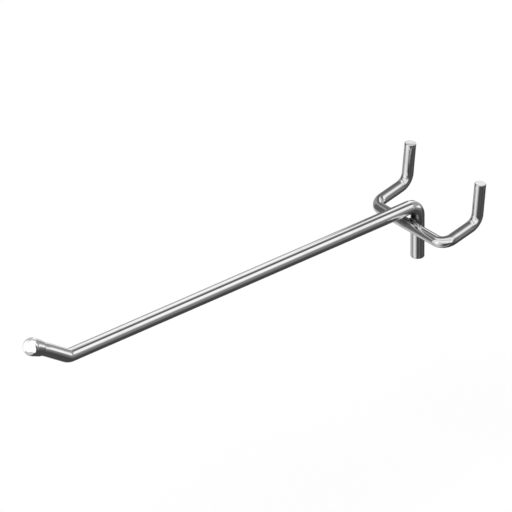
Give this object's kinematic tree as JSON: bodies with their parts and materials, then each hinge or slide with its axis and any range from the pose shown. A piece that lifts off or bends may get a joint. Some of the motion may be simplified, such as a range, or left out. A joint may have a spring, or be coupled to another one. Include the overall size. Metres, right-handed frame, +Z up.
{
  "type": "pegboard hook",
  "caption": "Chromed straight display hook for perforated board: a long rod with an upturned ball tip, welded to a bent back wire whose pegs hook behind the board.",
  "frame": {"origin": "on the face of the board, midway between the two holes, at the height where the arms' axes cross it", "axes": "+X along the crossbar from one hole to the other, +Y into the board, +Z up; the rod runs towards -Y"},
  "size_m": [0.0564, 0.2658, 0.0467],
  "materials": {
    "prong_chrome": "bright",
    "ball_chrome": "bright",
    "back_chrome": "bright",
    "weld_chrome": "satin"
  },
  "bodies": {
    "root": {"prong_wire": "prong_chrome", "ball_tip": "ball_chrome", "back_wire": "back_chrome", "weld_flash": "weld_chrome"}
  },
  "joints": []
}
